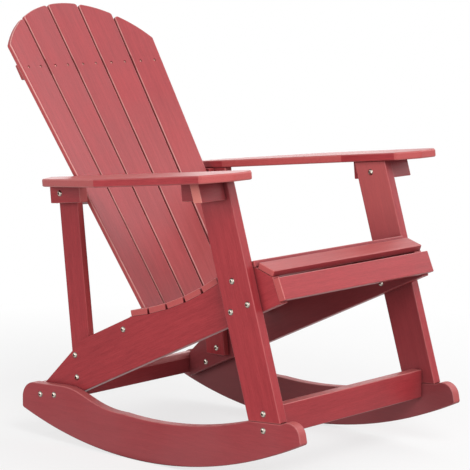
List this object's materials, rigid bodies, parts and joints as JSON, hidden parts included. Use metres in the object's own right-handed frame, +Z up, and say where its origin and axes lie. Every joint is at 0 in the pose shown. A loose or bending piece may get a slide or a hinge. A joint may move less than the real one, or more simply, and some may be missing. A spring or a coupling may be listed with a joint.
{
  "type": "rocking adirondack chair",
  "caption": "Outdoor rocking lounge chair of flat boards: low contoured slat seat, leaning fan back, wide armrests and curved rockers.",
  "frame": {"origin": "on the floor, under the middle of the chair's box", "axes": "+X towards the sitter's left, +Y to the back of the chair, +Z up; the chair stands still in its own balance"},
  "size_m": [0.7356, 0.9222, 0.9127],
  "materials": {
    "red_lumber": "matt red plastic lumber with a brushed wood grain",
    "stainless_steel": "bright stainless steel"
  },
  "bodies": {
    "root": {"apron_pins": "stainless_steel", "arm_block_bolts": "stainless_steel", "arm_brace_screws": "stainless_steel", "arm_level_brace": "red_lumber", "armrest_screws": "stainless_steel", "foot_bolts": "stainless_steel", "front_apron": "red_lumber", "front_seat_slat": "red_lumber", "front_stretcher": "red_lumber", "left_arm_bracket": "red_lumber", "left_arm_cleat": "red_lumber", "left_armrest": "red_lumber", "left_front_leg": "red_lumber", "left_inner_back_slat": "red_lumber", "left_outer_back_slat": "red_lumber", "left_rear_arm_block": "red_lumber", "left_rear_post": "red_lumber", "left_rocker": "red_lumber", "left_seat_rail": "red_lumber", "leg_bolts": "stainless_steel", "lower_back_brace": "red_lumber", "lower_brace_bolts": "stainless_steel", "lower_brace_screws": "stainless_steel", "middle_back_slat": "red_lumber", "post_bolts": "stainless_steel", "rear_stretcher": "red_lumber", "rear_stretcher_screws": "stainless_steel", "right_arm_bracket": "red_lumber", "right_arm_cleat": "red_lumber", "right_armrest": "red_lumber", "right_front_leg": "red_lumber", "right_inner_back_slat": "red_lumber", "right_outer_back_slat": "red_lumber", "right_rear_arm_block": "red_lumber", "right_rear_post": "red_lumber", "right_rocker": "red_lumber", "right_seat_rail": "red_lumber", "rocker_tail_bolts": "stainless_steel", "seat_slat_1": "red_lumber", "seat_slat_2": "red_lumber", "seat_slat_3": "red_lumber", "seat_slat_4": "red_lumber", "seat_slat_5": "red_lumber", "seat_slat_6": "red_lumber", "seat_slat_7": "red_lumber", "seat_slat_screws": "stainless_steel", "sleeve_nuts": "stainless_steel", "upper_back_brace": "red_lumber", "upper_brace_screws": "stainless_steel"}
  },
  "joints": []
}
